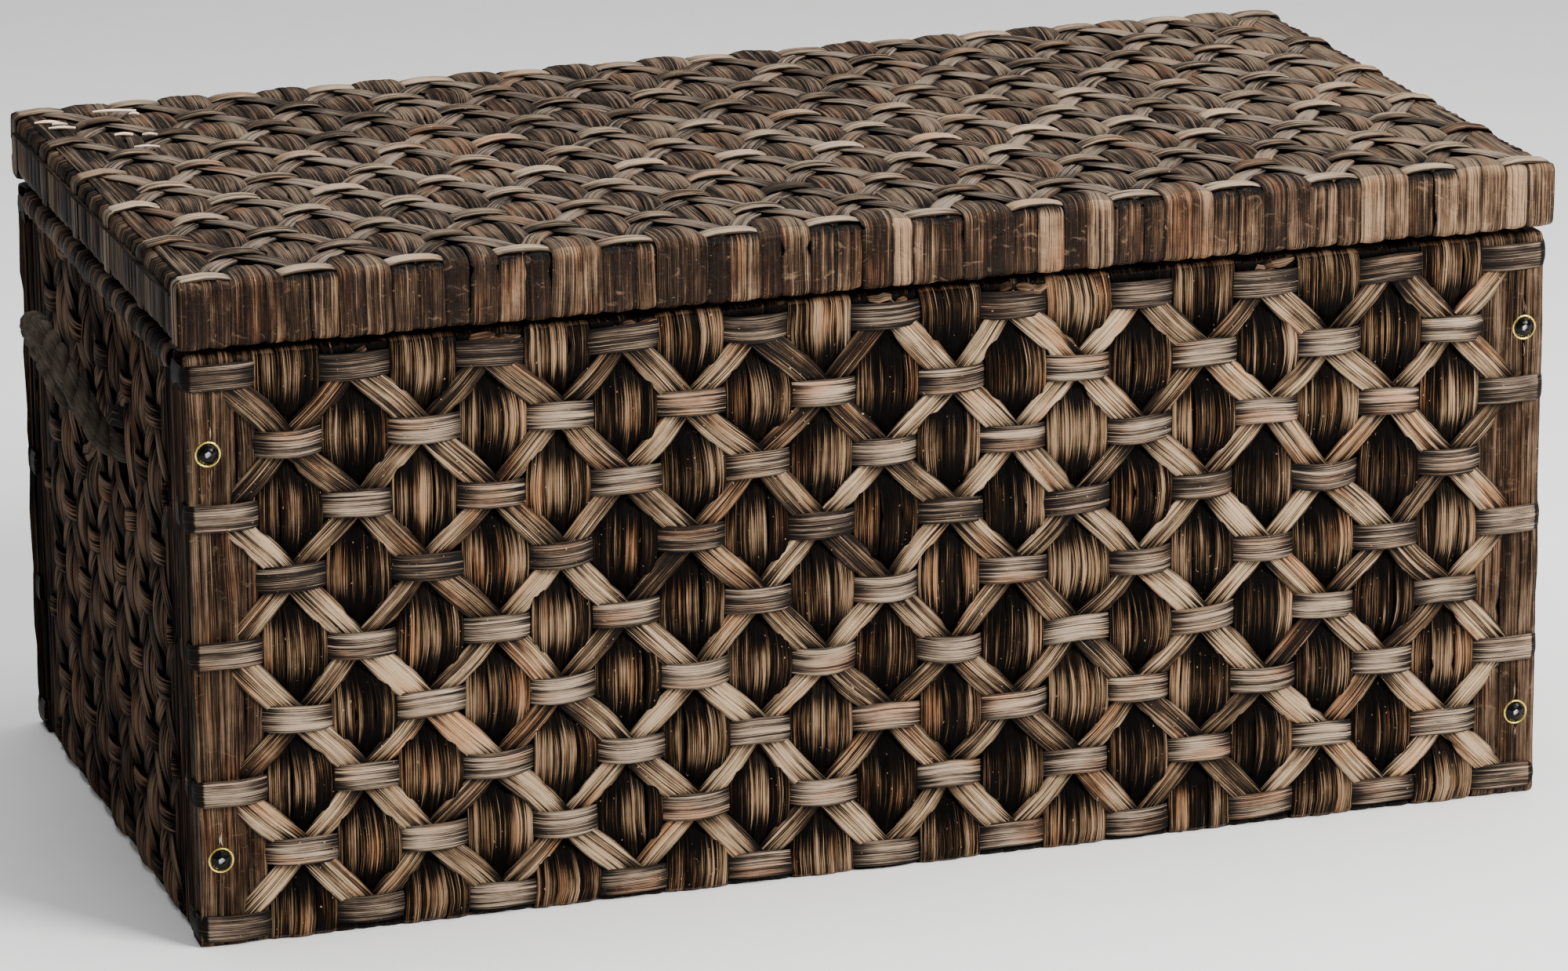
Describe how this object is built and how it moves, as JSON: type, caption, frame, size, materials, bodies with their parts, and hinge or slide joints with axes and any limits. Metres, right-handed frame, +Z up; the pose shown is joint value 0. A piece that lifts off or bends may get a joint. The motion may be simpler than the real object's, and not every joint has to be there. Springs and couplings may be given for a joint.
{
  "type": "wicker storage trunk",
  "caption": "Rectangular woven leaf storage trunk on a wooden frame, with a hinged overhanging woven lid, bolted corner posts and twisted rope end handles.",
  "frame": {"origin": "centre of the footprint, on the floor", "axes": "+X to the right along the front wall, +Y from the front wall to the hinged back wall, +Z up"},
  "size_m": [0.93, 0.4533, 0.398],
  "materials": {
    "woven_leaf": "dry flat leaf strips, tan to grey-brown, with dark grooves",
    "leaf_wrapped_rail": "dark brown leaf strips wound round wood, glossy at the edges",
    "bare_wood": "sanded, unfinished",
    "plywood": "sanded plywood",
    "rope": "dark grey-brown laid rope, matt",
    "bolt_head": "black, semi-gloss",
    "washer_brass": "plated, bright",
    "hinge_steel": "zinc plated",
    "bumper_rubber": "matt"
  },
  "bodies": {
    "trunk": {"front_bottom_rail": "leaf_wrapped_rail", "front_top_rail": "leaf_wrapped_rail", "front_left_post": "leaf_wrapped_rail", "front_right_post": "leaf_wrapped_rail", "front_weave": "woven_leaf", "front_floor_ledge": "bare_wood", "back_bottom_rail": "leaf_wrapped_rail", "back_top_rail": "leaf_wrapped_rail", "back_left_post": "leaf_wrapped_rail", "back_right_post": "leaf_wrapped_rail", "back_weave": "woven_leaf", "back_floor_ledge": "bare_wood", "floor_board": "plywood", "left_bottom_rail": "leaf_wrapped_rail", "left_top_rail": "leaf_wrapped_rail", "left_front_end_post": "leaf_wrapped_rail", "left_back_end_post": "leaf_wrapped_rail", "left_weave": "woven_leaf", "left_handle_rail": "bare_wood", "left_rope_front_knot": "rope", "left_rope_back_knot": "rope", "left_hinge_body_leaf": "hinge_steel", "left_hinge_pin": "hinge_steel", "right_bottom_rail": "leaf_wrapped_rail", "right_top_rail": "leaf_wrapped_rail", "right_front_end_post": "leaf_wrapped_rail", "right_back_end_post": "leaf_wrapped_rail", "right_weave": "woven_leaf", "right_handle_rail": "bare_wood", "right_rope_front_knot": "rope", "right_rope_back_knot": "rope", "right_hinge_body_leaf": "hinge_steel", "right_hinge_pin": "hinge_steel", "front_left_lower_bolt": "bolt_head", "front_left_lower_cup_washer": "washer_brass", "front_left_upper_bolt": "bolt_head", "front_left_upper_cup_washer": "washer_brass", "front_right_lower_bolt": "bolt_head", "front_right_lower_cup_washer": "washer_brass", "front_right_upper_bolt": "bolt_head", "front_right_upper_cup_washer": "washer_brass", "back_left_lower_bolt": "bolt_head", "back_left_upper_bolt": "bolt_head", "back_right_lower_bolt": "bolt_head", "back_right_upper_bolt": "bolt_head"},
    "lid": {"lid_front_rail": "leaf_wrapped_rail", "lid_back_rail": "leaf_wrapped_rail", "lid_left_rail": "leaf_wrapped_rail", "lid_left_cross_rail": "bare_wood", "lid_left_bumper": "bumper_rubber", "left_hinge_lid_leaf": "hinge_steel", "lid_right_rail": "leaf_wrapped_rail", "lid_right_cross_rail": "bare_wood", "lid_right_bumper": "bumper_rubber", "right_hinge_lid_leaf": "hinge_steel", "lid_weave": "woven_leaf"},
    "left_handle": {"left_rope_loop": "rope"},
    "right_handle": {"right_rope_loop": "rope"}
  },
  "joints": [
    {"name": "lid_hinge", "type": "hinge", "parent": "trunk", "child": "lid", "pos_m": [0, 0.224, 0.357], "axis": [-1, 0, 0], "range_deg": [0, 100]},
    {"name": "left_handle_swing", "type": "hinge", "parent": "trunk", "child": "left_handle", "pos_m": [-0.4265, 0, 0.252], "axis": [0, -1, 0], "range_deg": [-20, 152]},
    {"name": "right_handle_swing", "type": "hinge", "parent": "trunk", "child": "right_handle", "pos_m": [0.4265, 0, 0.252], "axis": [0, 1, 0], "range_deg": [-20, 152]}
  ]
}
